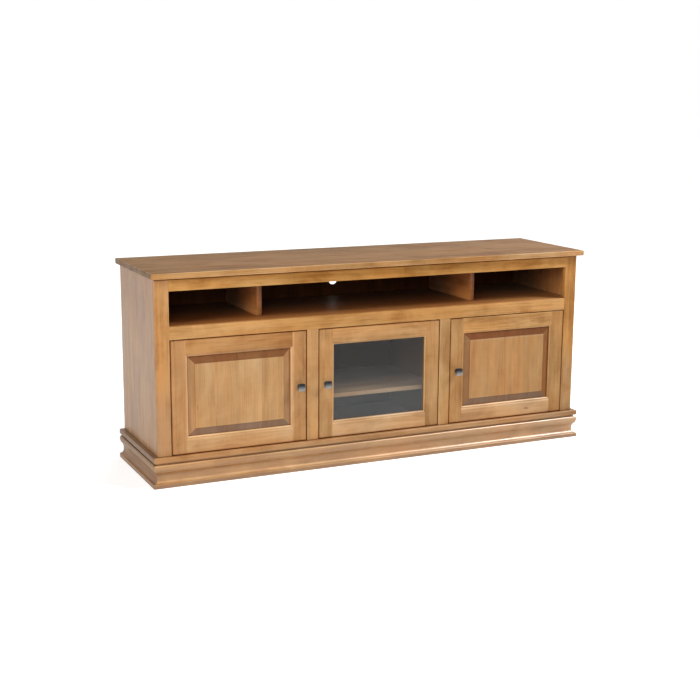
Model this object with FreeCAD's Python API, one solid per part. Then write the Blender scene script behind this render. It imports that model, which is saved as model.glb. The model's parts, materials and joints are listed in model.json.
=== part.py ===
import FreeCAD, Part

import math
import os

from FreeCAD import Vector

# A low, wide television cabinet of solid maple: three open bays over three inset doors, the middle
# one glazed, on a moulded plinth. Sizes are in millimetres. +Z is up, the doors face -Y, and the
# origin is on the floor, under the middle of the outline.

# Face frame and carcass
face_width = 1793.0          # across the outer edges of the face frame
carcass_depth = 453.0        # from the front of the face frame to the rear of the back panel
board = 19.0                 # face frame, sides, deck, partitions and dividers
back_thickness = 6.0
back_rabbet = 9.5            # how far the back panel reaches into each side panel
dado = 6.0                   # how deep boards are let into each other
stile_width = 52.0
mullion_width = 47.0
mullion_spacing = 570.0      # between the mullions' centre lines
divider_spacing = 923.0      # between the dividers' centre lines
divider_setback = 100.0      # from the face to the dividers' front edges
nailer_height = 70.0
cleat = 20.0

# Heights of the face, from the cabinet's floor up
door_opening_height = 430.0
middle_rail_height = 48.0
bay_height = 129.0
top_rail_height = 47.5

# Top board
top_thickness = 21.0
top_overhang_front = 24.0
top_overhang_side = 18.0
top_edge_round = 3.0

# Plinth moulding, from the floor up
toe_height = 13.0
toe_round = 2.5
toe_lip = 2.5                # how far the toe stands out beyond the nose and the cap
cove_radius = 14.0
recess_height = 8.5
ogee_height = 36.0           # from the recess out to the nose
nose_height = 5.0
nose_round = 7.0
quirk_height = 7.0
quirk_depth = 10.0
base_thickness = 42.5
base_projection_front = 20.5
base_projection_side = 22.5
ledger_width = 38.0
ledger_height = 40.0

# Cap board between the plinth and the carcass
cap_thickness = 20.0
cap_width = 60.0
cap_edge_round = 3.5

# Cable holes in the back panel
cable_hole_diameter = 40.0
bay_hole_height = 64.0       # from the deck to the upper hole's centre
cupboard_hole_drop = 95.0    # from the deck's underside to the lower hole's centre

# Shelves and their pins
shelf_thickness = 16.0
shelf_height = 145.0         # from the cabinet's floor to the shelves' underside
shelf_setback = 45.0         # from the face to the shelves' front edges
shelf_end_clearance = 1.5
shelf_back_clearance = 2.0
pin_diameter = 5.0
pin_depth = 8.0              # in the board
pin_reach = 9.0              # under the shelf
pin_flat = 0.5               # cut off the pin's top, where the shelf lies
pin_inset = 60.0             # from the shelf's front and back edges
pin_pitch = 32.0
pin_rows = 5
pin_hole_clearance = 0.05

# Door frames
door_thickness = 19.0
door_gap = 3.0
door_frame_width = 63.0
sticking_quirk = 1.0
sticking_radius = 7.0
groove_front = 8.5           # from the door's face to the panel groove or the glass
groove_width = 6.0
groove_depth = 10.0

# Raised panels
panel_float = 2.0            # from the panel's edge to the bottom of its groove
panel_side_clearance = 0.2   # between the panel's tongue and the groove's walls
panel_bevel = 28.0
panel_setback = 2.0          # from the door's face to the raised field
panel_arris = 1.5            # the step round the field

# Glazing
glass_thickness = 4.0
glass_edge_clearance = 1.0

# Pivots
pivot_inset = 24.0           # from the door's hinge edge to the pivot
pivot_diameter = 6.0
pivot_clearance = 0.05
pivot_reach = 10.0           # pin inside the door
pivot_plate_length = 36.0
pivot_plate_width = 12.0
pivot_plate_thickness = 2.5
bush_diameter = 9.0
bush_length = 14.0

# Knobs
knob_projection = 30.0
knob_size = 28.0
knob_head = 11.0
knob_corner = 5.0
knob_dome_radius = 38.0
knob_foot_radius = 8.5
knob_neck_radius = 5.5
knob_edge = 29.0             # from the door's free edge to the knob's centre
screw_diameter = 4.0
screw_reach = 12.0           # inside the knob
screw_head_diameter = 8.0
screw_head_height = 2.5
screw_hole_clearance = 0.25
thread_clearance = 0.05

# Magnetic catches
catch_depth = 14.0
catch_height = 45.0
catch_cover = 22.0           # how far the catch reaches behind the door
catch_drop = 60.0            # from the middle rail to the catch's centre
catch_gap = 0.5
strike_width = 16.0
strike_height = 36.0
strike_thickness = 1.5
strike_edge = 13.0           # from the door's free edge to the strike's centre

# Levels and planes worked out from the sizes
base_height = (toe_height + toe_round + cove_radius + recess_height + ogee_height
               + nose_height + nose_round + quirk_height)
z_floor = base_height + cap_thickness
z_door_top = z_floor + door_opening_height
z_deck = z_door_top + middle_rail_height
z_bay_top = z_deck + bay_height
z_carcass = z_bay_top + top_rail_height
z_top = z_carcass + top_thickness

front_reach = max(top_overhang_front, base_projection_front, knob_projection)
y_face = (front_reach - carcass_depth) / 2
y_carcass = y_face + board
y_back = y_face + carcass_depth
y_back_panel = y_back - back_thickness
y_base = y_face - base_projection_front

half_face = face_width / 2
half_inside = half_face - board
half_opening = half_face - stile_width
half_base = half_face + base_projection_side
cap_inner = toe_lip + cap_width      # from the plinth's outline to the cap's inner edge
partition_x = mullion_spacing / 2
divider_x = divider_spacing / 2

nodes = {}
catches = []


def box(x, y, z):
    """A box between two limits along each axis."""
    corner = Vector(min(x), min(y), min(z))
    return Part.makeBox(abs(x[1] - x[0]), abs(y[1] - y[0]), abs(z[1] - z[0]), corner)


def around(middle, width):
    """Two limits, half a width to each side of the middle."""
    return middle - width / 2, middle + width / 2


def outline(start, steps):
    """A closed face: a step is (end,) for a line, or (middle, end) for an arc."""
    edges = []
    at = start
    for step in steps:
        if len(step) == 1:
            edges.append(Part.LineSegment(at, step[0]).toShape())
        else:
            edges.append(Part.Arc(at, step[0], step[1]).toShape())
        at = step[-1]
    edges.append(Part.LineSegment(at, start).toShape())
    return Part.Face(Part.Wire(edges))


def plan(points, z):
    """An upright prism over a polygon of (x, y) points, between two heights."""
    corners = [Vector(x, y, z[0]) for x, y in points]
    return outline(corners[0], [(corner,) for corner in corners[1:]]).extrude(Vector(0, 0, z[1] - z[0]))


def rod(start, direction, radius, length):
    return Part.makeCylinder(radius, length, start, direction)


def group(solids):
    return Part.makeCompound(solids)


def quarter(centre, radius, across, up):
    """The middle point of a quarter arc, as (across, up) from its centre in a section."""
    step = radius * math.sqrt(0.5)
    return centre[0] + across * step, centre[1] + up * step


# Plinth and cap
def base_section(place):
    """The plinth moulding: toe, cove, recess, ogee, nose and quirk; place turns (inset, height) into a point."""
    toe_top = toe_height + toe_round
    recess = toe_round + cove_radius
    recess_foot = toe_top + cove_radius
    ogee_foot = recess_foot + recess_height
    nose_foot = ogee_foot + ogee_height
    nose_shoulder = nose_foot + nose_height
    nose_top = nose_shoulder + nose_round

    # Two equal arcs, upright where they end and smooth where they meet
    half_turn = math.atan2(recess - toe_lip, ogee_height)
    arc = ogee_height / 2 / math.sin(2 * half_turn)
    sweep = arc * (1 - math.cos(half_turn))
    rise = arc * math.sin(half_turn)
    ogee_middle = ((recess + toe_lip) / 2, ogee_foot + ogee_height / 2)

    return outline(place(0, 0), [
        (place(0, toe_height),),
        (place(*quarter((toe_round, toe_height), toe_round, -1, 1)), place(toe_round, toe_top)),
        (place(*quarter((toe_round, recess_foot), cove_radius, 1, -1)), place(recess, recess_foot)),
        (place(recess, ogee_foot),),
        (place(recess - sweep, ogee_foot + rise), place(*ogee_middle)),
        (place(toe_lip + sweep, nose_foot - rise), place(toe_lip, nose_foot)),
        (place(toe_lip, nose_shoulder),),
        (place(*quarter((toe_lip + nose_round, nose_shoulder), nose_round, -1, 1)),
         place(toe_lip + nose_round, nose_top)),
        (place(toe_lip + quirk_depth, nose_top),),
        (place(toe_lip + quirk_depth, base_height),),
        (place(base_thickness, base_height),),
        (place(base_thickness, 0),),
    ])


def cap_section(place):
    """The cap board, with its outer edge rounded above and below."""
    r = cap_edge_round
    low = quarter((toe_lip + r, base_height + r), r, -1, -1)
    high = quarter((toe_lip + r, z_floor - r), r, -1, 1)
    return outline(place(cap_inner, base_height), [
        (place(toe_lip + r, base_height),),
        (place(*low), place(toe_lip, base_height + r)),
        (place(toe_lip, z_floor - r),),
        (place(*high), place(toe_lip + r, z_floor)),
        (place(cap_inner, z_floor),),
    ])


def surround(section, width):
    """Front, left and right lengths of a section, mitred at the front corners."""
    inner_x = half_base - width
    inner_y = y_base + width
    z = (0, z_floor)
    front = section(lambda inset, height: Vector(-half_base, y_base + inset, height))
    front = front.extrude(Vector(2 * half_base, 0, 0))
    front = front.common(plan([(-half_base, y_base), (half_base, y_base),
                               (inner_x, inner_y), (-inner_x, inner_y)], z))
    lengths = [front]
    for side in (-1, 1):
        length = section(lambda inset, height: Vector(side * (half_base - inset), y_base, height))
        length = length.extrude(Vector(0, y_back - y_base, 0))
        lengths.append(length.common(plan([(side * half_base, y_base), (side * inner_x, inner_y),
                                           (side * inner_x, y_back), (side * half_base, y_back)], z)))
    return lengths


def make_plinth():
    nodes["base_front"], nodes["base_left"], nodes["base_right"] = surround(base_section, base_thickness)
    nodes["cap_front"], nodes["cap_left"], nodes["cap_right"] = surround(cap_section, cap_inner)

    inner_x = half_base - base_thickness
    inner_y = y_base + base_thickness
    rail_y = y_back - board
    nodes["base_back"] = box((-inner_x, inner_x), (rail_y, y_back), (0, base_height))

    z = (base_height - ledger_height, base_height)
    strips = [box((-inner_x, inner_x), (inner_y, inner_y + ledger_width), z)]
    for side in (-1, 1):
        strips.append(box((side * inner_x, side * (inner_x - ledger_width)),
                          (inner_y + ledger_width, rail_y), z))
    strips.append(box((ledger_width - inner_x, inner_x - ledger_width),
                      (rail_y - ledger_width, rail_y), z))
    nodes["base_ledgers"] = group(strips)


# Carcass boards
def pin_holes(face_x, side):
    """Rows of blind shelf pin holes in a board's face; side points from the face into the board."""
    radius = pin_diameter / 2 + pin_hole_clearance
    holes = []
    for y in pin_lines:
        for row in range(pin_rows):
            z = pin_z + (row - pin_rows // 2) * pin_pitch
            holes.append(rod(Vector(face_x, y, z), Vector(side, 0, 0), radius, pin_depth))
    return holes


def make_carcass():
    inside_y = (y_carcass, y_back_panel)
    deck = box((-half_inside - dado, half_inside + dado), inside_y, (z_deck - board, z_deck))
    floor = box((cap_inner - half_base, half_base - cap_inner), (y_base + cap_inner, y_back),
                (base_height, z_floor))
    nailer = box((-half_inside, half_inside), (y_back_panel - board, y_back_panel),
                 (z_carcass - nailer_height, z_carcass))
    half_back = half_inside + back_rabbet
    back = box((-half_back, half_back), (y_back_panel, y_back), (z_floor, z_carcass))

    cleats = []
    for side, name in ((-1, "left"), (1, "right")):
        panel = box((side * half_inside, side * half_face), (y_carcass, y_back), (z_floor, z_carcass))
        panel = panel.cut(deck).cut(back).cut(group(pin_holes(side * half_inside, side)))
        nodes[name + "_side_panel"] = panel

        middle = side * partition_x
        partition = box(around(middle, board), inside_y, (z_floor - dado, z_deck - board + dado))
        deck = deck.cut(partition)
        floor = floor.cut(partition)
        nodes["cap_front"] = nodes["cap_front"].cut(partition)
        holes = pin_holes(middle - board / 2, 1) + pin_holes(middle + board / 2, -1)
        nodes[name + "_partition"] = partition.cut(group(holes))

        divider = box(around(side * divider_x, board), (y_face + divider_setback, y_back_panel),
                      (z_deck - dado, z_carcass)).cut(nailer)
        deck = deck.cut(divider)
        nodes[name + "_divider"] = divider

        cleats.append(box((side * half_inside, side * (half_inside - cleat)),
                          (y_carcass, y_back_panel - board), (z_carcass - cleat, z_carcass)))

    for z in (z_deck + bay_hole_height, z_deck - board - cupboard_hole_drop):
        back = back.cut(rod(Vector(0, y_back_panel, z), Vector(0, 1, 0),
                            cable_hole_diameter / 2, back_thickness))
    nodes["middle_deck"] = deck
    nodes["bottom_panel"] = floor
    nodes["rear_nailer"] = nailer
    nodes["back_panel"] = back
    nodes["top_cleats"] = group(cleats)


def make_top():
    """Rounded above and below along the front and both ends."""
    r = top_edge_round
    y = y_face - top_overhang_front
    half = half_face + top_overhang_side
    low = z_carcass + r
    high = z_top - r

    front = outline(Vector(-half, y_back, z_carcass), [
        (Vector(-half, y + r, z_carcass),),
        (Vector(-half, *quarter((y + r, low), r, -1, -1)), Vector(-half, y, low)),
        (Vector(-half, y, high),),
        (Vector(-half, *quarter((y + r, high), r, -1, 1)), Vector(-half, y + r, z_top)),
        (Vector(-half, y_back, z_top),),
    ]).extrude(Vector(2 * half, 0, 0))

    def end(side, level, up):
        across, height = quarter((side * (half - r), level), r, side, up)
        return Vector(across, y, height)

    ends = outline(Vector(half - r, y, z_carcass), [
        (end(1, low, -1), Vector(half, y, low)),
        (Vector(half, y, high),),
        (end(1, high, 1), Vector(half - r, y, z_top)),
        (Vector(r - half, y, z_top),),
        (end(-1, high, 1), Vector(-half, y, high)),
        (Vector(-half, y, low),),
        (end(-1, low, -1), Vector(r - half, y, z_carcass)),
    ]).extrude(Vector(0, y_back - y, 0))
    nodes["top_board"] = front.common(ends)


def make_face_frame():
    y = (y_face, y_carcass)
    across = (-half_opening, half_opening)
    nodes["top_rail"] = box(across, y, (z_bay_top, z_carcass))
    nodes["middle_rail"] = box(across, y, (z_door_top, z_deck))
    for side, name in ((-1, "left"), (1, "right")):
        nodes[name + "_stile"] = box((side * half_opening, side * half_face), y, (z_floor, z_carcass))
        nodes[name + "_mullion"] = box(around(side * partition_x, mullion_width), y, (z_floor, z_door_top))


# Shelves
shelf_z = z_floor + shelf_height
shelf_y = (y_face + shelf_setback, y_back_panel - shelf_back_clearance)
pin_z = shelf_z - pin_diameter / 2 + pin_flat
pin_lines = (shelf_y[0] + pin_inset, shelf_y[1] - pin_inset)
cupboards = {
    "left": (-half_inside, -partition_x - board / 2),
    "centre": (-partition_x + board / 2, partition_x - board / 2),
    "right": (partition_x + board / 2, half_inside),
}


def make_shelves():
    pins = []
    for name, (low, high) in cupboards.items():
        nodes[name + "_shelf"] = box((low + shelf_end_clearance, high - shelf_end_clearance), shelf_y,
                                     (shelf_z, shelf_z + shelf_thickness))
        for face_x, side in ((low, 1), (high, -1)):
            for y in pin_lines:
                start = Vector(face_x - side * pin_depth, y, pin_z)
                pin = rod(start, Vector(side, 0, 0), pin_diameter / 2, pin_depth + pin_reach)
                flat = box((face_x, face_x + side * pin_reach), around(y, pin_diameter),
                           (shelf_z, shelf_z + pin_diameter))
                pins.append(pin.cut(flat))
    nodes["shelf_pins"] = group(pins)


# Doors
door_z = (z_floor + door_gap, z_door_top - door_gap)
pivot_y = y_face + door_thickness / 2
catch_z = z_door_top - catch_drop
strike_y = y_face + door_thickness + strike_thickness


def frame_section(place, glazed):
    """A door stile or rail; place turns (from its outer edge inward, from its face back) into a point."""
    inner = door_frame_width
    deep = inner - groove_depth
    shoulder = inner - sticking_radius
    lip = sticking_quirk + sticking_radius
    start = place(0, 0)
    steps = [
        (place(shoulder, 0),),
        (place(shoulder, sticking_quirk),),
        (place(*quarter((shoulder, lip), sticking_radius, 1, -1)), place(inner, lip)),
        (place(inner, groove_front),),
        (place(deep, groove_front),),
    ]
    if glazed:
        steps.append((place(deep, door_thickness),))
    else:
        groove_back = groove_front + groove_width
        steps.append((place(deep, groove_back),))
        steps.append((place(inner, groove_back),))
        steps.append((place(inner, door_thickness),))
    steps.append((place(0, door_thickness),))
    return outline(start, steps)


def door_frame(x, glazed):
    """Left and right stiles, then bottom and top rails coped over the stiles' moulded edges."""
    height = Vector(0, 0, door_z[1] - door_z[0])
    left = frame_section(lambda a, b: Vector(x[0] + a, y_face + b, door_z[0]), glazed).extrude(height)
    right = frame_section(lambda a, b: Vector(x[1] - a, y_face + b, door_z[0]), glazed).extrude(height)
    tenon = door_frame_width - groove_depth
    length = Vector(x[1] - x[0] - 2 * tenon, 0, 0)
    start = x[0] + tenon
    bottom = frame_section(lambda a, b: Vector(start, y_face + b, door_z[0] + a), glazed).extrude(length)
    top = frame_section(lambda a, b: Vector(start, y_face + b, door_z[1] - a), glazed).extrude(length)
    stiles = left.fuse(right)
    return left, right, bottom.cut(stiles), top.cut(stiles)


def raised_panel(x):
    """A panel whose tongue floats in the frame's groove, with a bevel up to a raised field."""
    def span(limits, inset):
        return limits[0] + inset, limits[1] - inset

    tongue_inset = door_frame_width - groove_depth + panel_float
    tongue_front = y_face + groove_front + panel_side_clearance
    tongue_back = y_face + groove_front + groove_width - panel_side_clearance
    tongue = box(span(x, tongue_inset), (tongue_front, tongue_back), span(door_z, tongue_inset))

    field_inset = door_frame_width + panel_bevel
    field_x = span(x, field_inset)
    field_z = span(door_z, field_inset)
    field_front = y_face + panel_setback
    field_step = field_front + panel_arris
    field = box(field_x, (field_front, field_step), field_z)

    foot_x = span(x, door_frame_width)
    foot_z = span(door_z, door_frame_width)
    bevel = Part.makeWedge(field_x[0], field_step, field_z[0], foot_z[0], foot_x[0],
                           field_x[1], tongue_front, field_z[1], foot_z[1], foot_x[1])
    return tongue.fuse([bevel, field]).removeSplitter()


def glazing(x):
    """The pane in its rabbet, and the four beads that hold it there."""
    rabbet = door_frame_width - groove_depth
    pane_inset = rabbet + glass_edge_clearance
    pane_y = (y_face + groove_front, y_face + groove_front + glass_thickness)
    pane = box((x[0] + pane_inset, x[1] - pane_inset), pane_y,
               (door_z[0] + pane_inset, door_z[1] - pane_inset))

    bead_y = (pane_y[1], y_face + door_thickness)
    outer_x = (x[0] + rabbet, x[1] - rabbet)
    outer_z = (door_z[0] + rabbet, door_z[1] - rabbet)
    inner_x = (outer_x[0] + groove_depth, outer_x[1] - groove_depth)
    beads = [
        box((outer_x[0], inner_x[0]), bead_y, outer_z),
        box((inner_x[1], outer_x[1]), bead_y, outer_z),
        box(inner_x, bead_y, (outer_z[0], outer_z[0] + groove_depth)),
        box(inner_x, bead_y, (outer_z[1] - groove_depth, outer_z[1])),
    ]
    return pane, group(beads)


def knob(x, z):
    """A square, domed head on a waisted stem, bored for its screw."""
    back = y_face - (knob_projection - knob_head)
    front = y_face - knob_projection
    head = box(around(x, knob_size), (front, back), around(z, knob_size))
    upright = [edge for edge in head.Edges if edge.tangentAt(edge.FirstParameter).y ** 2 > 0.5]
    head = head.makeFillet(knob_corner, upright)
    head = head.common(Part.makeSphere(knob_dome_radius, Vector(x, front + knob_dome_radius, z)))

    stem_length = knob_projection - knob_head
    stem = outline(Vector(x, y_face, z), [
        (Vector(x + knob_foot_radius, y_face, z),),
        (Vector(x + knob_neck_radius, y_face - stem_length / 2, z), Vector(x + knob_foot_radius, back, z)),
        (Vector(x, back, z),),
    ]).revolve(Vector(x, y_face, z), Vector(0, 1, 0), 360)
    bore = rod(Vector(x, y_face, z), Vector(0, -1, 0), screw_diameter / 2 + thread_clearance, screw_reach)
    return head.fuse(stem).cut(bore)


def knob_screw(x, z):
    start = Vector(x, y_face + door_thickness, z)
    shank = rod(start, Vector(0, -1, 0), screw_diameter / 2, door_thickness + screw_reach)
    head = rod(start, Vector(0, 1, 0), screw_head_diameter / 2, screw_head_height)
    return shank.fuse(head)


def pivots(x):
    """Pins on plates let into the cap and the middle rail, and the bushes in the door's two edges."""
    pins = []
    bushes = []
    for edge, door_edge, up in ((z_floor, door_z[0], 1), (z_door_top, door_z[1], -1)):
        axis = Vector(0, 0, up)
        plate_x = around(x, pivot_plate_length)
        plate_y = around(pivot_y, pivot_plate_width)
        plate = box(plate_x, plate_y, (edge, edge - up * pivot_plate_thickness))
        pin = rod(Vector(x, pivot_y, edge), axis, pivot_diameter / 2, door_gap + pivot_reach)
        pins.append(plate.fuse(pin))

        at = Vector(x, pivot_y, door_edge)
        flange = box(plate_x, plate_y, (door_edge, door_edge + up * pivot_plate_thickness))
        sleeve = rod(at, axis, bush_diameter / 2, bush_length)
        bore = rod(at, axis, pivot_diameter / 2 + pivot_clearance, bush_length)
        bushes.append((flange.fuse(sleeve), bore))
    return pins, bushes


def catch(face_x, side, x):
    """A magnet housing on a partition, reaching behind the door; side points from the face to the door."""
    free_edge = x[0] if side > 0 else x[1]
    return box((face_x, free_edge + side * catch_cover),
               (strike_y + catch_gap, strike_y + catch_gap + catch_depth), around(catch_z, catch_height))


def make_door(name, opening, hinge_side, glazed):
    """One inset door; hinge_side is -1 for left and 1 for right. Gives its pivot pins."""
    x = (opening[0] + door_gap, opening[1] - door_gap)
    left, right, bottom, top = door_frame(x, glazed)
    hinge, free = (left, right) if hinge_side < 0 else (right, left)
    hinge_x = x[0] + pivot_inset if hinge_side < 0 else x[1] - pivot_inset
    free_x = x[1] if hinge_side < 0 else x[0]

    pins, bushes = pivots(hinge_x)
    fitted = []
    for body, bore in bushes:
        hinge = hinge.cut(body)
        fitted.append(body.cut(bore))

    knob_x = free_x + hinge_side * knob_edge
    knob_z = (door_z[0] + door_z[1]) / 2
    free = free.cut(rod(Vector(knob_x, y_face, knob_z), Vector(0, 1, 0),
                        screw_diameter / 2 + screw_hole_clearance, door_thickness))

    door = name + "_door_"
    nodes[door + "hinge_stile"] = hinge
    nodes[door + "knob_stile"] = free
    nodes[door + "bottom_rail"] = bottom
    nodes[door + "top_rail"] = top
    if glazed:
        nodes[door + "glass"], nodes[door + "glass_beads"] = glazing(x)
    else:
        nodes[door + "panel"] = raised_panel(x)
    nodes[door + "knob"] = knob(knob_x, knob_z)
    nodes[door + "knob_screw"] = knob_screw(knob_x, knob_z)
    nodes[door + "pivot_bushes"] = group(fitted)
    nodes[door + "strike_plate"] = box(around(free_x + hinge_side * strike_edge, strike_width),
                                       (y_face + door_thickness, strike_y), around(catch_z, strike_height))
    face_x = cupboards[name][0] if hinge_side > 0 else cupboards[name][1]
    catches.append(catch(face_x, hinge_side, x))
    print(name, "door pivot at", round(hinge_x, 3), round(pivot_y, 3))
    return pins


def make_doors():
    inner = partition_x - mullion_width / 2
    outer = partition_x + mullion_width / 2
    pins = make_door("left", (-half_opening, -outer), -1, False)
    pins += make_door("centre", (-inner, inner), 1, True)
    pins += make_door("right", (outer, half_opening), 1, False)
    for name in ("cap_front", "middle_rail"):
        nodes[name] = nodes[name].cut(group(pins))
    nodes["pivot_pins"] = group(pins)
    nodes["magnetic_catches"] = group(catches)


make_plinth()
make_carcass()
make_top()
make_face_frame()
make_shelves()
make_doors()

os.makedirs("parts", exist_ok=True)
for name, shape in nodes.items():
    shape.exportStep("parts/" + name + ".step")
    print(name, len(shape.Solids), "solids", shape.isValid(), round(shape.Volume / 1000, 1), "cm3")
whole = group(list(nodes.values())).BoundBox
print(len(nodes), "nodes; from", whole.XMin, whole.YMin, whole.ZMin, "to", whole.XMax, whole.YMax, whole.ZMax)
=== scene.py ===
import json
import math
import random

import bpy
from mathutils import Matrix, Vector


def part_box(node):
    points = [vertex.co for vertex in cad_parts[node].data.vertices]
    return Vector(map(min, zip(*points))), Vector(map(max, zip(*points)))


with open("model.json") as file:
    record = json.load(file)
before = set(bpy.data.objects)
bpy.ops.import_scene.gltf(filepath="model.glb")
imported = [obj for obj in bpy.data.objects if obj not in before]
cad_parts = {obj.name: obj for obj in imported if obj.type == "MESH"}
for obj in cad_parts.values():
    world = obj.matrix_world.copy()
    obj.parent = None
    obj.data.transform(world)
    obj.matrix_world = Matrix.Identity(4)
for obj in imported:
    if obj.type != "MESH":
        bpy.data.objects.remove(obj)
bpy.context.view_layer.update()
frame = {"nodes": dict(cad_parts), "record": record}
nodes = frame["nodes"]
scene = bpy.context.scene

# Axes, the ends of a box along one, and the ways that a face can look
X, Y, Z = 0, 1, 2
LOW, HIGH = 0, 1
UP, DOWN, FRONT, LEFT, RIGHT = (Z, 1), (Z, -1), (Y, -1), (X, -1), (X, 1)

# Camera: where it stands, which way it looks, and its lens
CAMERA_AT = (-2.1781, -4.5713, 1.4345)
CAMERA_AZIMUTH = math.radians(25.165)      # from straight on, towards +X
CAMERA_DROP = math.radians(11.539)         # below the horizon
CAMERA_ROLL = math.radians(0.418)
CAMERA_REACH = 60.0
SENSOR = 36.0
LENS = 66.06

# The studio
WORLD_FILL = 0.05
FLOOR_SIZE = 16.0
FLOOR_COLOUR = (0.86, 0.86, 0.86, 1.0)
FLOOR_LIFT_NEAR, FLOOR_LIFT_AHEAD = 0.62, 0.72   # what lamplight lacks of white on the floor
FLOOR_NEAR, FLOOR_FAR = (1.6, 3.4), (4.0, 7.0)   # distances over which that changes
FLOOR_BEHIND = (-1.0, 1.5)                       # and the places along Y
WHITE = (1.0, 1.0, 1.0, 1.0)
LAMP_TARGET = Vector((0.0, -0.2, 0.4))

# Stained maple, as it looks in white light
PALE = (0.594, 0.336, 0.144)
MIDDLE = (0.493, 0.260, 0.099)
DARK = (0.360, 0.169, 0.055)
MIDDLE_TONE = 0.49
WARM_HUE, COOL_HUE = (1.05, 0.97, 0.86), (0.98, 1.01, 1.03)
KNOT_COLOUR = (0.12, 0.055, 0.022)
END_STAIN = (0.52, 0.44, 0.40)             # how much darker end grain is
CORNER_SHADE = (0.24, 0.11, 0.035)              # painted shade in corners, gaps and hollows, where less light reaches
INSIDE_CORNER_SHADE = (0.85, 0.82, 0.80)        # fainter painted shade in the corners inside the cabinet
QUIRK_SHADE = (0.60, 0.52, 0.43)                 # painted shade in the plinth's grooves
CORNER_SHADE_REACH = 0.011
CORNER_SHADE_BAND = (0.28, 0.70)                # how open to the air a corner is
CORNER_SHADE_SAMPLES = 12

# The wood's patterns: the length along the grain and the width across it, in metres
RING_WARP, RING_FADE = (0.55, 0.14), (0.5, 0.03)
STREAK, THREAD, FIBRE = (0.45, 0.026), (0.24, 0.0055), (0.045, 0.0012)
FLECK, BLOTCH, CURL = (0.03, 0.0022), (0.16, 0.085), (0.011, 0.06)
HUE, KNOT = (0.32, 0.075), (0.012, 0.004)

# How far each of them moves the tone
STREAK_SWING, THREAD_SWING, FIBRE_SWING, CURL_SWING = 1.15, 0.65, 0.3, 0.18
BLOTCH_SWING, STAVE_BLOTCH_SWING, STAVE_SWING = 2.0, 1.5, 0.26
RING_SHADE, FLECK_SHADE, SHADE_OFFSET = -0.22, -0.2, 0.11

# Where in their noise rings, flecks and hues begin and are full, and how knots end
RING_BAND, FLECK_BAND, HUE_BAND = (0.35, 0.95), (0.66, 0.78), (0.3, 0.7)
KNOT_BAND, KNOT_SWING = (0.25, 1.0), 1.6

# How far patterns, rounded edges and corners move the roughness, and patterns the height
FIBRE_ROUGH, BLOTCH_ROUGH, FLECK_ROUGH, ROUND_ROUGH, CORNER_ROUGH = 0.16, 0.12, 0.06, -0.14, 0.4
FLECK_HEIGHT, RING_HEIGHT = -0.8, -0.5

RING_SPACING = 0.0065
WARP_DEPTH = 0.05
PITH_BEHIND = (0.05, 0.16)                 # from a board's middle to the tree's middle
PITH_ASIDE = (-0.05, 0.05)
STAVE = 0.092                              # width of the strips that wide boards are glued from
STAVE_PITH_ASIDE = 0.12
STAVE_SHIFT_ALONG, STAVE_SHIFT_ACROSS = 7.0, 3.0   # how far neighbouring strips' patterns are apart

# The cosines between which a face counts as one that looks some way
LOOKING = (0.3, 0.7)
FACE = (0.5, 0.9)
END_FACE = (0.45, 0.8)
BEVEL = (0.07, 0.15)
ROUND = (0.80, 0.95)                       # and below which a face counts as rounded

# Edges of the doors' boards: a band of painted shade, with some settled stain, along their outer edges
# beside the gaps, and painted highlight lines
GAP_STAIN_AND_SHADE, EDGE_WIDTH = (0.66, 0.42, 0.24), 0.0045
CREST_HIGHLIGHT = (1.1, 1.2, 1.4)              # painted highlight along the top of the right door
ARRIS_INSET = 0.005                        # from a stile's inner edge to the painted highlight line beside it
STEP_DROP = 0.0108                         # from a bottom rail's top to the painted highlight line at the step below its round
FIELD_DROP = 0.040                         # from a panel's top down to the painted highlight along its field's edge

# The knobs: how high the painted reflection of the pale floor reaches, short of their tops, and how uneven
# it is
FLOOR_REFLECTION_SHORT, FLOOR_REFLECTION_SWING = 0.004, 0.012

# The glass
GLASS_COLOUR, GLASS_SHADOW = (0.59, 0.615, 0.625, 1.0), (0.50, 0.51, 0.50, 1.0)
GLASS_IOR = 1.29
GLASS_FOOT_REFLECTION = 0.046                         # how much paler its foot is, a painted reflection of the pale floor
FOOT_REFLECTION_FROM, FOOT_REFLECTION_TO = 0.15, 0.8             # shares of the pane's height over which that fades out

# How much sharp edges are eased, and the angles from which they count as sharp
WOOD_EASE, KNOB_EASE, FITTING_EASE = 0.0007, 0.0008, 0.0003
WOOD_ANGLE, PANEL_ANGLE, FITTING_ANGLE = 30.0, 9.0, 35.0
WELD_DISTANCE = 1e-5
FLAT_WEIGHT = 50


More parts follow.
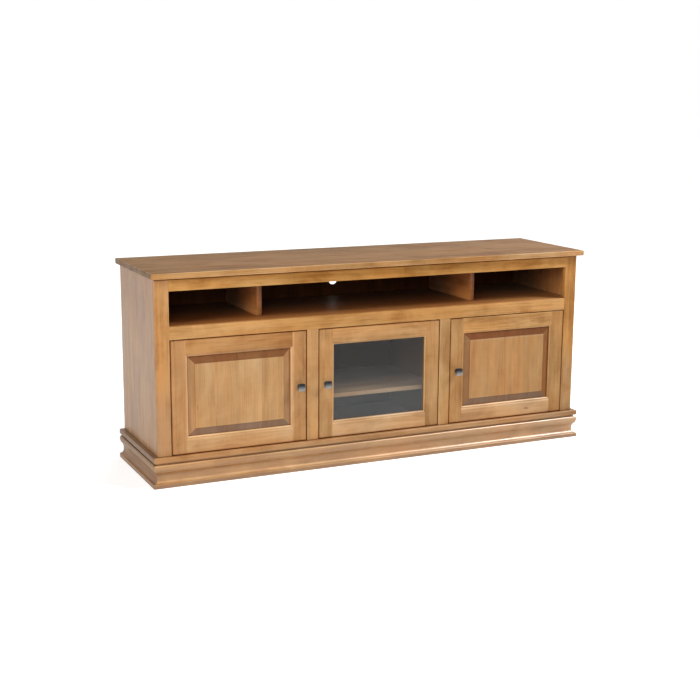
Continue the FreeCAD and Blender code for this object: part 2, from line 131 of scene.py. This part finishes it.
class Shader:
    """Short ways to make the nodes of a material or a world and join them."""

    def __init__(self, owner):
        self.owner = owner
        owner.use_nodes = True
        self.tree = owner.node_tree
        self.tree.nodes.clear()

    def node(self, kind, inputs=None, **settings):
        made = self.tree.nodes.new("ShaderNode" + kind)
        for key, value in settings.items():
            setattr(made, key, value)
        for key, value in (inputs or {}).items():
            self.put(made.inputs[key], value)
        return made

    def put(self, socket, value):
        if isinstance(value, bpy.types.NodeSocket):
            self.tree.links.new(value, socket)
        elif value is not None:
            socket.default_value = value

    def math(self, operation, a, b=None):
        made = self.node("Math", operation=operation)
        self.put(made.inputs[0], a)
        self.put(made.inputs[1], b)
        return made.outputs[0]

    def add(self, *values):
        total = values[0]
        for value in values[1:]:
            total = self.math("ADD", total, value)
        return total

    def minus(self, a, b):
        return self.math("SUBTRACT", a, b)

    def times(self, a, b):
        return self.math("MULTIPLY", a, b)

    def size(self, value):
        return self.math("ABSOLUTE", value)

    def swing(self, value, amount):
        """A value of 0 to 1, moved to swing about zero by this amount."""
        return self.times(self.minus(value, 0.5), amount)

    def length(self, *values):
        return self.math("SQRT", self.add(*[self.times(value, value) for value in values]))

    def ramp(self, value, low, high, to_low=0.0, to_high=1.0):
        """A smooth step from one value to another."""
        return self.node("MapRange", {"Value": value, "From Min": low, "From Max": high,
                                      "To Min": to_low, "To Max": to_high},
                         interpolation_type="SMOOTHSTEP").outputs["Result"]

    def point(self, x, y, z):
        return self.node("CombineXYZ", {"X": x, "Y": y, "Z": z}).outputs[0]

    def parts(self, vector):
        return self.node("SeparateXYZ", {"Vector": vector}).outputs

    def place(self):
        return self.node("TexCoord").outputs["Object"]

    def noise(self, vector, scale=1.0, detail=2.0, rough=0.5, distortion=0.0):
        return self.node("TexNoise", {"Vector": vector, "Scale": scale, "Detail": detail,
                                      "Roughness": rough, "Distortion": distortion}).outputs[0]

    def mix(self, factor, a, b, blend="MIX"):
        made = self.node("Mix", data_type="RGBA", blend_type=blend)
        self.put(made.inputs["Factor"], factor)
        for key, value in (("A", a), ("B", b)):
            self.put(made.inputs[key], value if isinstance(value, bpy.types.NodeSocket) else (*value, 1.0))
        return made.outputs["Result"]

    def stained(self, colour, stain, share):
        """A colour with a share, from 0 to 1, of a stain that multiplies it."""
        return self.mix(share, colour, self.mix(1.0, colour, stain, "MULTIPLY"))

    def looks(self, normal, side, cosines):
        """How far a face looks one way, from 0 to 1."""
        axis, sign = side
        return self.ramp(self.times(normal[axis], sign), *cosines)

    def bump(self, height, strength, distance):
        return self.node("Bump", {"Strength": strength, "Distance": distance, "Height": height}).outputs[0]

    def principled(self, inputs):
        return self.node("BsdfPrincipled", inputs).outputs[0]

    def seen_directly(self):
        """1 for rays that show the surroundings: to the camera, in a reflection or through glass."""
        rays = self.node("LightPath").outputs
        mirrored = self.math("MAXIMUM", rays["Is Camera Ray"], rays["Is Glossy Ray"])
        return self.math("MAXIMUM", mirrored, rays["Is Transmission Ray"])

    def finish(self, surface, output="OutputMaterial"):
        self.node(output, {"Surface": surface})
        return self.owner


def new_material(name):
    return Shader(bpy.data.materials.new(name))


def wood(node, grain, tone=0.0, tint=(1.0, 1.0, 1.0), staves=False, slope=None, end_stain=END_STAIN,
         specular=0.2, rough=0.45, rubbed=None, facings=(), fades=(), lines=(), corner_shade=CORNER_SHADE,
         marks=(), figure=1.0):
    """A board of stained maple; grain names the axes along and across it, such as "xz".

    figure is how strong its pattern is and slope how much of the end stain its bevels take.
    rubbed is how much paler its rounded edges are, as wear and a painted highlight;
    facings are colour changes, mostly painted shade, highlights and reflections, on the faces that
    look one way, fades are the same growing along an axis, on all faces or on those that look one
    way, lines are narrow ones at one place along an axis, corner_shade is the painted shade in its
    corners, and marks are knots.
    """
    s = new_material("maple_" + node)
    draw = random.Random(node)
    low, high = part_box(node)
    middle = (low + high) / 2
    along_axis, across_axis = ("xyz".index(letter) for letter in grain)
    through_axis = X + Y + Z - along_axis - across_axis

    coordinates = s.node("TexCoord").outputs
    place = s.parts(coordinates["Object"])
    normal = s.parts(coordinates["Normal"])
    along = s.add(place[along_axis], draw.uniform(-9, 9))
    across = s.minus(place[across_axis], middle[across_axis])
    through = s.minus(place[through_axis], middle[through_axis])

    pith = draw.uniform(*PITH_ASIDE)
    if staves:
        strip = s.add(s.math("DIVIDE", across, STAVE), draw.uniform(5, 6))
        number = s.math("FLOOR", strip)
        chance = s.node("TexWhiteNoise", {"W": s.add(number, draw.uniform(0, 50))},
                        noise_dimensions="1D").outputs["Value"]
        along = s.add(along, s.times(chance, STAVE_SHIFT_ALONG))
        across = s.swing(s.minus(strip, number), STAVE)
        pith = s.swing(chance, STAVE_PITH_ASIDE)
        across_noise = s.add(across, s.times(chance, STAVE_SHIFT_ACROSS))
    else:
        across_noise = s.add(across, draw.uniform(-3, 3))

    def pattern(spread, **settings):
        """Noise of about this length along the grain and width across it."""
        length, width = spread
        stretched = s.point(s.times(along, 1 / length), s.times(across_noise, 1 / width),
                            s.times(through, 1 / width))
        return s.noise(stretched, **settings)

    # Growth rings, streaks, fibres and blotches make the tone
    warp = s.swing(pattern(RING_WARP, detail=2), WARP_DEPTH)
    radius = s.length(s.minus(across, pith), s.add(through, draw.uniform(*PITH_BEHIND)))
    ring = s.math("FRACT", s.math("DIVIDE", s.add(radius, warp), RING_SPACING))
    ring = s.times(s.ramp(ring, *RING_BAND), pattern(RING_FADE, detail=1))
    streak = pattern(STREAK, detail=3, rough=0.6)
    thread = pattern(THREAD, detail=2, rough=0.6)
    fibre = pattern(FIBRE, detail=2)
    fleck = s.ramp(pattern(FLECK, detail=1), *FLECK_BAND)
    blotch = pattern(BLOTCH, detail=3, rough=0.55, distortion=0.4)
    curl = pattern(CURL, detail=1)
    shade = s.add(s.swing(streak, STREAK_SWING), s.swing(thread, THREAD_SWING),
                  s.swing(blotch, STAVE_BLOTCH_SWING if staves else BLOTCH_SWING),
                  s.swing(fibre, FIBRE_SWING), s.swing(curl, CURL_SWING),
                  s.times(ring, RING_SHADE), s.times(fleck, FLECK_SHADE), SHADE_OFFSET)
    shade = s.add(s.times(shade, figure), MIDDLE_TONE + tone)
    if staves:
        shade = s.add(shade, s.swing(chance, STAVE_SWING))

    ramp = s.node("ValToRGB", {"Fac": shade})
    stops = ramp.color_ramp.elements
    stops.new(0.5)
    for stop, colour in zip(stops, (DARK, MIDDLE, PALE)):
        stop.color = (*[value * share for value, share in zip(colour, tint)], 1.0)
    hue = s.ramp(pattern(HUE, detail=2, distortion=0.3), *HUE_BAND)
    colour = s.mix(1.0, ramp.outputs["Color"], s.mix(hue, WARM_HUE, COOL_HUE), "MULTIPLY")

    # End grain takes more stain, and so do bevels that cut across the fibres
    end = s.ramp(s.size(normal[along_axis]), *(END_FACE if slope is None else BEVEL))
    colour = s.stained(colour, end_stain, end)
    if slope is not None:
        sloping = s.ramp(s.size(normal[across_axis]), *BEVEL)
        colour = s.stained(colour, end_stain, s.times(sloping, slope))
    # Painted shade, highlights and reflections, with some stains, on faces, along axes and in lines
    for side, stain, cosines in facings:
        colour = s.stained(colour, stain, s.looks(normal, side, cosines))
    for axis, start, full, stain, *sides in fades:
        share = s.ramp(place[axis], start, full)
        for side in sides:
            share = s.times(share, s.looks(normal, side, LOOKING))
        colour = s.stained(colour, stain, share)
    for axis, at, width, stain, side in lines:
        near = s.ramp(s.size(s.minus(place[axis], at)), 0.0, width, to_low=1.0, to_high=0.0)
        colour = s.stained(colour, stain, s.times(near, s.looks(normal, side, LOOKING)))

    # Rounded edges are painted paler, as wear and a painted highlight, and made smoother; corners get
    # painted shade and more roughness
    shine = s.add(s.swing(fibre, FIBRE_ROUGH), s.swing(blotch, BLOTCH_ROUGH),
                  s.times(fleck, FLECK_ROUGH), rough)
    if rubbed is not None:
        level = s.math("MAXIMUM", s.size(normal[X]), s.size(normal[Y]))
        flatness = s.math("MAXIMUM", level, s.size(normal[Z]))
        curved = s.ramp(flatness, *ROUND, to_low=1.0, to_high=0.0)
        colour = s.stained(colour, rubbed, curved)
        shine = s.add(shine, s.times(curved, ROUND_ROUGH))
    # Painted shade: darker where the surface is hemmed in by other surfaces
    open_sky = s.node("AmbientOcclusion", {"Distance": CORNER_SHADE_REACH}, samples=CORNER_SHADE_SAMPLES).outputs["AO"]
    corner = s.ramp(open_sky, *CORNER_SHADE_BAND, to_low=1.0, to_high=0.0)
    colour = s.stained(colour, corner_shade, corner)
    shine = s.add(shine, s.times(corner, CORNER_ROUGH))

    for spot, spread, strength in marks:
        away = s.length(*[s.math("DIVIDE", s.minus(place[axis], spot[axis]), spread[axis])
                          for axis in (along_axis, across_axis)])
        away = s.add(away, s.swing(pattern(KNOT, detail=2), KNOT_SWING))
        inside = s.ramp(away, *KNOT_BAND, to_low=strength, to_high=0.0)
        colour = s.mix(inside, colour, KNOT_COLOUR)

    height = s.add(fibre, s.times(fleck, FLECK_HEIGHT), s.times(ring, RING_HEIGHT))
    return s.finish(s.principled({"Base Color": colour, "Roughness": shine, "Specular IOR Level": specular,
                                  "Normal": s.bump(height, strength=0.25, distance=0.0003)}))


def plain_wood():
    """Unstained softwood for the boards that stay out of sight."""
    s = new_material("plain_wood")
    place = s.parts(s.place())
    grain = s.point(s.times(place[X], 3.0), s.times(place[Y], 60.0), s.times(place[Z], 60.0))
    streak = s.noise(grain, detail=4, rough=0.6)
    return s.finish(s.principled({"Base Color": s.mix(streak, (0.42, 0.27, 0.14), (0.66, 0.48, 0.29)),
                                  "Roughness": s.ramp(streak, 0.2, 0.8, to_low=0.55, to_high=0.7),
                                  "Normal": s.bump(streak, strength=0.3, distance=0.0004)}))


def pewter(node):
    """Dark plated metal, painted paler towards the lower edge as a reflection of the pale floor."""
    s = new_material("pewter_" + node)
    low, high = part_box(node)
    place = s.place()
    cloud = s.noise(place, scale=220.0, detail=3)
    grit = s.noise(place, scale=1800.0, detail=2)
    floor_reflection = s.add(s.parts(place)[Z], s.swing(cloud, FLOOR_REFLECTION_SWING))
    floor_reflection = s.ramp(floor_reflection, low.z, high.z - FLOOR_REFLECTION_SHORT, to_low=1.0, to_high=0.0)
    return s.finish(s.principled({"Base Color": s.mix(floor_reflection, (0.03, 0.031, 0.034), (0.27, 0.27, 0.26)),
                                  "Metallic": 1.0,
                                  "Roughness": s.ramp(grit, 0.3, 0.7, to_low=0.3, to_high=0.46),
                                  "Normal": s.bump(grit, strength=0.2, distance=0.0002)}))


def steel():
    """Zinc-plated steel for pins, plates, bushes and screws."""
    s = new_material("zinc_steel")
    place = s.place()
    spangle = s.noise(place, scale=160.0, detail=3)
    fine = s.noise(place, scale=2200.0, detail=2)
    return s.finish(s.principled({"Base Color": s.mix(spangle, (0.40, 0.40, 0.38), (0.62, 0.61, 0.58)),
                                  "Metallic": 1.0,
                                  "Roughness": s.ramp(fine, 0.3, 0.7, to_low=0.28, to_high=0.42),
                                  "Normal": s.bump(fine, strength=0.15, distance=0.0002)}))


def brown_plastic():
    """Moulded plastic for the catches."""
    s = new_material("brown_plastic")
    place = s.place()
    cloud = s.noise(place, scale=40.0, detail=2)
    grain = s.noise(place, scale=900.0, detail=3)
    return s.finish(s.principled({"Base Color": s.mix(cloud, (0.17, 0.095, 0.048), (0.21, 0.12, 0.064)),
                                  "Roughness": s.ramp(grain, 0.3, 0.7, to_low=0.5, to_high=0.62),
                                  "Normal": s.bump(grain, strength=0.25, distance=0.0002)}))


def smoked_glass():
    """Grey glass; lamps shine through it to what stands behind."""
    s = new_material("smoked_glass")
    low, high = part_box("centre_door_glass")
    place = s.place()
    smear = s.noise(place, scale=14.0, detail=4, rough=0.6)
    pane = high.z - low.z
    # A painted reflection of the pale floor: the pane's foot takes less transmission and shows paler
    foot_reflection = s.ramp(s.parts(place)[Z], low.z + FOOT_REFLECTION_FROM * pane, low.z + FOOT_REFLECTION_TO * pane,
                  to_low=GLASS_FOOT_REFLECTION, to_high=0.0)
    clear = s.principled({"Base Color": GLASS_COLOUR, "IOR": GLASS_IOR,
                          "Transmission Weight": s.minus(1.0, foot_reflection),
                          "Roughness": s.ramp(smear, 0.35, 0.75, to_low=0.004, to_high=0.03)})
    straight = s.node("BsdfTransparent", {"Color": GLASS_SHADOW}).outputs[0]
    shadow = s.node("LightPath").outputs["Is Shadow Ray"]
    return s.finish(s.node("MixShader", {0: shadow, 1: clear, 2: straight}).outputs[0])


def dress(node, material):
    """Gives a node one material all over."""
    for slot in nodes[node].material_slots:
        slot.link = "OBJECT"
        slot.material = material


def ease(node, width, angle, segments=2):
    """Takes the sharpness off a node's edges."""
    piece = nodes[node]
    weld = piece.modifiers.new("weld", "WELD")
    weld.merge_threshold = WELD_DISTANCE
    bevel = piece.modifiers.new("ease", "BEVEL")
    bevel.width = width
    bevel.segments = segments
    bevel.limit_method = "ANGLE"
    bevel.angle_limit = math.radians(angle)
    bevel.harden_normals = False
    flat = piece.modifiers.new("flat", "WEIGHTED_NORMAL")
    flat.weight = FLAT_WEIGHT
    flat.keep_sharp = False


def board_grain(node):
    """The axes along and across a board's grain."""
    if node in ("top_board", "middle_deck", "bottom_panel", "cap_front") or node.endswith("_shelf"):
        return "xy"
    if node in ("base_left", "base_right") or node.endswith("_divider"):
        return "yz"
    if node in ("cap_left", "cap_right"):
        return "yx"
    if node.endswith(("_side_panel", "_partition")):
        return "zy"
    if node.endswith(("_rail", "base_front")):
        return "xz"
    return "zx"


def arris(node, axis, end, inset, stain, width=EDGE_WIDTH):
    """A line on a board's front, this far from one of its ends along an axis: mostly painted highlights; on
    the dividers' right edges it is a darker, greyer line.
    """
    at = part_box(node)[end][axis] + (-inset if end == HIGH else inset)
    return axis, at, width, stain, FRONT


def door_board(node, arrises=(), crest=GAP_STAIN_AND_SHADE, **finish):
    """A board of a door's frame: its beads are painted pale, as wear and highlight, its outer edges get
    painted shade beside the gaps with some settled stain, and its arrises painted highlight lines.
    """
    door = node.partition("_")[0]
    low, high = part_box(door + "_door_hinge_stile")
    other_low, other_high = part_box(door + "_door_knob_stile")
    left, right = min(low.x, other_low.x), max(high.x, other_high.x)
    edges = ((X, left, GAP_STAIN_AND_SHADE), (X, right, GAP_STAIN_AND_SHADE), (Z, low.z, GAP_STAIN_AND_SHADE), (Z, high.z, crest))
    lines = [(axis, at, EDGE_WIDTH, stain, FRONT) for axis, at, stain in edges]
    lines += [arris(node, *line) for line in arrises]
    return {"rubbed": (1.42, 1.6, 1.9), "lines": lines, **finish}


def side_panel(inner):
    """A side of the cabinet; inner is the way that its inner face looks."""
    # The tint darkens the outer face as painted shade; the inner facing paints the inner face lighter and
    # warmer, with painted shade towards its back and top; the whole side is darker towards its top
    return {"specular": 0.6, "rough": 0.40, "tint": (0.79, 0.79, 0.81), "figure": 1.3,
            "facings": ((inner, (1.65, 1.40, 1.15), FACE),),
            "fades": ((Z, 0.38, 0.68, (0.83, 0.80, 0.80)), (Y, -0.12, 0.16, (0.38, 0.48, 0.75), inner),
                      (Z, 0.63, 0.69, (0.72, 0.72, 0.76), inner))}


def divider(node):
    """A divider between the bays: painted shade towards its back and top, a painted highlight along the left
    of its front edge, and a darker, greyer line along the right.
    """
    return {"tint": (1.42, 1.14, 0.95), "end_stain": (0.57, 0.57, 0.60),
            "fades": ((Y, -0.06, 0.16, (0.42, 0.56, 1.0)), (Z, 0.62, 0.69, (0.78, 0.76, 0.86))),
            "lines": (arris(node, X, LOW, 0.004, (1.26, 1.24, 1.22), 0.007),
                      arris(node, X, HIGH, 0.0, (0.78, 0.86, 1.12), 0.012))}


def darker_middle(stain, *sides):
    """Fades that stain the middle third of a long board."""
    inner, outer = 0.35, 0.55
    undone = tuple(1 / value for value in stain)
    return (X, -outer, -inner, stain, *sides), (X, inner, outer, undone, *sides)


# Boards that are glued from strips
STAVED = ("top_board", "middle_deck", "bottom_panel", "left_side_panel", "right_side_panel", "back_panel",
          "left_partition", "right_partition", "left_shelf", "centre_shelf", "right_shelf",
          "left_door_panel", "right_door_panel")

# How each board differs from plain stained maple: settings of wood(), places in metres
# A painted shadow under the top's overhang, on the top rail and the stiles
SHADOW_UNDER_TOP = (Z, 0.7575, 0.7640, (0.28, 0.19, 0.11))
# Partitions and the cupboards' bottom, darkened as painted shade
SHADED_INSIDE = {"tint": (0.36, 0.31, 0.28), "corner_shade": INSIDE_CORNER_SHADE}
# Shelves painted lighter as painted light on their lit front edges, with painted shade towards the back
LIT_SHELF = {"tint": (1.25, 1.37, 1.85), "corner_shade": INSIDE_CORNER_SHADE,
         "fades": ((Y, -0.14, 0.08, (0.52, 0.50, 0.50)),)}
# The plinth's ends, darkened as painted shade
SHADED_FOOT_END = {"specular": 0.4, "rough": 0.42, "tint": (0.68, 0.68, 0.72)}
SHADED_CAP_END = {"specular": 0.35, "rough": 0.42, "tint": (0.46, 0.455, 0.51)}
FINISH = {
    # Its upper face darkened as painted shade, its left end painted paler and bluer as a painted sheen, its
    # rounded edges painted pale as highlight and wear, and the whole board paler towards its right as a
    # painted sheen; its upper face is also greyer towards the back and its front darker in the middle
    "top_board": {
        "figure": 1.4, "specular": 0.05, "rough": 0.6,
        "end_stain": (0.50, 0.54, 0.68), "rubbed": (1.7, 1.95, 2.4),
        "facings": ((UP, (0.52, 0.52, 0.58), (0.6, 0.95)), (LEFT, (1.16, 1.37, 1.91), FACE)),
        "fades": ((X, 0.2, 0.9, (1.06, 1.1, 1.25)), (Y, -0.08, 0.2, (0.92, 0.98, 1.08), UP),
                  *darker_middle((0.88, 0.88, 0.90), FRONT))},
    "left_side_panel": side_panel(RIGHT), "right_side_panel": side_panel(LEFT),
    # Its inner face darkened nearly to black as painted shade
    "back_panel": {
        "tint": (0.76, 0.68, 0.62), "specular": 0.05, "corner_shade": INSIDE_CORNER_SHADE,
        "facings": ((FRONT, (0.215, 0.18, 0.19), FACE),)},

    # The plinth
    # Upward faces painted paler as highlight, the more towards the right; downward faces darkened as painted
    # shade; the toe darkened near the floor as painted shade; the whole front paler towards its right as a
    # painted sheen; painted shade in its grooves
    "base_front": {
        "specular": 1.0, "rough": 0.42, "tint": (0.82, 0.79, 0.69),
        "rubbed": (1.16, 1.18, 1.22), "corner_shade": QUIRK_SHADE,
        "facings": ((UP, (1.16, 1.26, 1.48), LOOKING), (DOWN, (0.91, 0.90, 0.87), (0.2, 0.5))),
        "fades": ((Z, 0.018, 0.010, (0.69, 0.69, 0.70)), (X, -0.5, 0.9, (1.08, 1.15, 1.38)),
                  (X, -0.3, 0.8, (1.13, 1.22, 1.5), UP))},
    # A painted shadow along its top where the doors stand, and painted shade in its grooves
    "cap_front": {
        "specular": 0.3, "rough": 0.42, "tint": (0.905, 0.885, 0.93),
        "rubbed": (1.16, 1.18, 1.22), "corner_shade": QUIRK_SHADE,
        "fades": ((X, 0.4, 0.85, (0.88, 0.91, 0.97)),),
        "lines": ((Y, -0.2125, 0.0065, (0.26, 0.15, 0.07), UP),)},
    "base_left": SHADED_FOOT_END, "base_right": SHADED_FOOT_END, "cap_left": SHADED_CAP_END, "cap_right": SHADED_CAP_END,

    # The face frame
    "top_rail": {
        "tone": 0.04, "figure": 1.25, "specular": 0.05, "tint": (1.11, 1.07, 0.88),
        "fades": (SHADOW_UNDER_TOP, *darker_middle((0.86, 0.81, 0.70)))},
    "middle_rail": {
        "tone": 0.14, "figure": 1.4, "tint": (1.06, 1.01, 0.89), "fades": darker_middle((0.88, 0.86, 0.78))},
    # The stiles: a painted shadow under the top, and their lower parts painted bluer and greyer as a painted
    # reflection of the pale floor
    "left_stile": {
        "tone": 0.12, "figure": 1.5, "tint": (0.985, 0.875, 0.75),
        "fades": (SHADOW_UNDER_TOP, (Z, 0.45, 0.25, (0.88, 0.97, 1.26)))},
    "right_stile": {
        "tone": -0.10, "figure": 1.2, "tint": (0.975, 0.87, 0.635),
        "fades": (SHADOW_UNDER_TOP, (Z, 0.45, 0.25, (0.80, 0.91, 1.31)))},
    "left_mullion": {"tone": 0.10}, "right_mullion": {"tint": (0.97, 1.03, 1.08)},

    # Inside the bays and the cupboards
    # Painted shade towards its back and left end, and painted light towards its right
    "middle_deck": {
        "tone": 0.3, "specular": 0.06, "rough": 0.42, "tint": (0.62, 0.456, 0.35), "figure": 0.28,
        "fades": ((Y, -0.17, 0.12, (0.31, 0.44, 0.86)), (X, 0.3, 0.7, (1.34, 1.56, 1.78)),
                  (X, -0.4, -0.75, (0.86, 0.78, 0.72)))},
    "left_divider": divider("left_divider"), "right_divider": divider("right_divider"),
    "left_partition": SHADED_INSIDE, "right_partition": SHADED_INSIDE, "bottom_panel": SHADED_INSIDE,
    "left_shelf": LIT_SHELF, "centre_shelf": LIT_SHELF, "right_shelf": LIT_SHELF,

    # The doors' panels
    # On the bevels: painted shade on the upper and right ones, and a painted reflection of the pale floor,
    # paler and bluer, on the lower ones; the right panel also has a painted highlight along its field's top
    # edge
    "left_door_panel": {
        "tone": 0.06, "specular": 0.3, "slope": 0.36, "figure": 0.9, "tint": (1.0, 1.02, 1.08),
        "facings": ((UP, (0.75, 0.58, 0.39), BEVEL), (DOWN, (0.90, 1.08, 1.70), BEVEL),
                    (RIGHT, (0.88, 0.82, 0.81), BEVEL)),
        "fades": ((X, -0.68, -0.5, (0.99, 1.06, 1.13)),),
        "marks": (((-0.7419, 0.0, 0.2837), (0.0025, 1.0, 0.012), 0.6),)},
    "right_door_panel": {
        "tone": -0.05, "specular": 0.3, "slope": 0.85, "figure": 0.75,
        "facings": ((UP, (0.73, 0.53, 0.32), BEVEL), (DOWN, (0.86, 1.10, 1.85), BEVEL),
                    (RIGHT, (0.94, 0.71, 0.34), BEVEL)),
        "fades": ((X, 0.55, 0.72, (0.94, 0.95, 0.92)),),
        "lines": (arris("right_door_panel", Z, HIGH, FIELD_DROP, (1.06, 1.18, 1.5)),)},

    # The doors' frames
    "left_door_hinge_stile": door_board(
        "left_door_hinge_stile", ((X, HIGH, ARRIS_INSET, (1.22, 1.42, 1.9)),),
        tone=0.08, tint=(0.95, 0.91, 0.94)),
    "left_door_knob_stile": door_board(
        "left_door_knob_stile", ((X, LOW, 0.008, (1.27, 1.39, 1.72), 0.009),),
        tint=(0.91, 0.88, 0.88)),
    "left_door_top_rail": door_board(
        "left_door_top_rail", ((Z, LOW, 0.006, (1.2, 1.32, 1.8)),),
        figure=1.3, tone=0.02, tint=(0.90, 0.83, 0.75)),
    "left_door_bottom_rail": door_board(
        "left_door_bottom_rail", ((Z, HIGH, STEP_DROP, (1.22, 1.25, 1.38)),),
        tone=0.16, specular=0.5, tint=(1.06, 1.10, 1.17)),
    "centre_door_hinge_stile": door_board("centre_door_hinge_stile", tone=-0.06, tint=(0.95, 0.97, 1.0)),
    "centre_door_knob_stile": door_board(
        "centre_door_knob_stile", ((X, HIGH, ARRIS_INSET, (1.15, 1.27, 1.5)),),
        tint=(0.97, 0.99, 1.03)),
    "centre_door_top_rail": door_board("centre_door_top_rail", figure=1.3, tone=0.06),
    "centre_door_bottom_rail": door_board(
        "centre_door_bottom_rail", ((Z, HIGH, STEP_DROP, (1.26, 1.36, 1.62)),),
        rubbed=(1.1, 1.28, 1.6), tone=0.12, specular=0.5, tint=(1.05, 1.12, 1.27)),
    "right_door_hinge_stile": door_board(
        "right_door_hinge_stile", ((X, LOW, ARRIS_INSET, (1.12, 1.17, 1.3)),),
        crest=CREST_HIGHLIGHT, tone=-0.08, tint=(0.85, 0.82, 0.74)),
    "right_door_knob_stile": door_board("right_door_knob_stile", tone=-0.08, tint=(0.92, 0.90, 0.86)),
    "right_door_top_rail": door_board(
        "right_door_top_rail", crest=CREST_HIGHLIGHT, figure=1.45, tone=0.02, tint=(1.05, 1.04, 0.96)),
    "right_door_bottom_rail": door_board(
        "right_door_bottom_rail", ((Z, HIGH, STEP_DROP, (1.34, 1.52, 2.0)),),
        tone=0.08, specular=0.5, tint=(1.03, 1.09, 1.22),
        marks=(((0.6766, 0.0, 0.1416), (0.018, 1.0, 0.007), 0.55),)),
}


def dress_all():
    """Gives every node its material and eases its edges."""
    shared = {"hidden_wood": plain_wood(), "steel": steel(), "catch_plastic": brown_plastic(),
              "smoked_glass": smoked_glass()}
    for part in frame["record"]["subparts"]:
        node, slot = part["node"], part["material_slot"]
        if slot in ("maple", "maple_plywood"):
            dress(node, wood(node, board_grain(node), staves=node in STAVED, **FINISH.get(node, {})))
            ease(node, WOOD_EASE, PANEL_ANGLE if node.endswith("_door_panel") else WOOD_ANGLE)
        elif slot == "dark_pewter":
            dress(node, pewter(node))
            ease(node, KNOB_EASE, FITTING_ANGLE, segments=3)
        else:
            dress(node, shared[slot])
            ease(node, FITTING_EASE, FITTING_ANGLE)


def make_camera():
    data = bpy.data.cameras.new("camera")
    data.sensor_width = SENSOR
    data.lens = LENS
    data.clip_end = CAMERA_REACH
    forward = Vector((math.sin(CAMERA_AZIMUTH) * math.cos(CAMERA_DROP),
                      math.cos(CAMERA_AZIMUTH) * math.cos(CAMERA_DROP), -math.sin(CAMERA_DROP)))
    level = Vector((math.cos(CAMERA_AZIMUTH), -math.sin(CAMERA_AZIMUTH), 0.0))
    upright = level.cross(forward)
    right = level * math.cos(CAMERA_ROLL) + upright * math.sin(CAMERA_ROLL)
    up = right.cross(forward)
    camera = bpy.data.objects.new("camera", data)
    scene.collection.objects.link(camera)
    turn = Matrix((right, up, -forward)).transposed().to_4x4()
    camera.matrix_world = Matrix.Translation(CAMERA_AT) @ turn
    scene.camera = camera


def softbox(name, azimuth, elevation, distance, size, power):
    """A wide lamp aimed at the cabinet; azimuth is to the right of straight in front."""
    a, e = math.radians(azimuth), math.radians(elevation)
    away = Vector((math.sin(a) * math.cos(e), -math.cos(a) * math.cos(e), math.sin(e)))
    data = bpy.data.lights.new(name, "AREA")
    data.shape = "RECTANGLE"
    data.size, data.size_y = size
    data.energy = power
    lamp = bpy.data.objects.new(name, data)
    lamp.location = LAMP_TARGET + away * distance
    lamp.rotation_euler = (-away).to_track_quat("-Z", "Y").to_euler()
    scene.collection.objects.link(lamp)


def make_world():
    """White where it is seen, and a weak fill light."""
    scene.world = bpy.data.worlds.new("studio")
    s = Shader(scene.world)
    strength = s.node("MapRange", {"Value": s.seen_directly(), "To Min": WORLD_FILL, "To Max": 1.0})
    background = s.node("Background", {"Color": WHITE, "Strength": strength.outputs["Result"]})
    s.finish(background.outputs[0], "OutputWorld")


def make_floor():
    """A pale floor that shows white where nothing shades it."""
    half = FLOOR_SIZE / 2
    mesh = bpy.data.meshes.new("floor")
    corners = [(-half, -half, 0), (half, -half, 0), (half, half, 0), (-half, half, 0)]
    mesh.from_pydata(corners, [], [(0, 1, 2, 3)])
    floor = bpy.data.objects.new("floor", mesh)
    scene.collection.objects.link(floor)
    s = new_material("pale_floor")
    place = s.place()
    away = s.node("VectorMath", {0: place}, operation="LENGTH").outputs["Value"]
    ahead = s.ramp(away, *FLOOR_FAR, to_low=FLOOR_LIFT_AHEAD, to_high=1.0)
    behind = s.ramp(s.parts(place)[Y], *FLOOR_BEHIND, to_low=ahead, to_high=1.0)
    lift = s.ramp(away, *FLOOR_NEAR, to_low=FLOOR_LIFT_NEAR, to_high=behind)
    glow = s.times(s.seen_directly(), lift)
    matt = s.node("BsdfDiffuse", {"Color": FLOOR_COLOUR}).outputs[0]
    white = s.node("Emission", {"Strength": glow}).outputs[0]
    mesh.materials.append(s.finish(s.node("AddShader", {0: matt, 1: white}).outputs[0]))


dress_all()
make_camera()
make_world()
make_floor()
softbox("key", azimuth=60.0, elevation=42.0, distance=7.0, size=(2.2, 2.2), power=360.0)
softbox("fill", azimuth=-66.0, elevation=22.0, distance=5.0, size=(1.6, 1.6), power=86.0)
softbox("front", azimuth=-30.0, elevation=20.0, distance=4.0, size=(1.6, 1.2), power=36.0)
softbox("rear", azimuth=150.0, elevation=52.0, distance=5.0, size=(3.0, 2.0), power=90.0)

scene.view_settings.view_transform = "Standard"
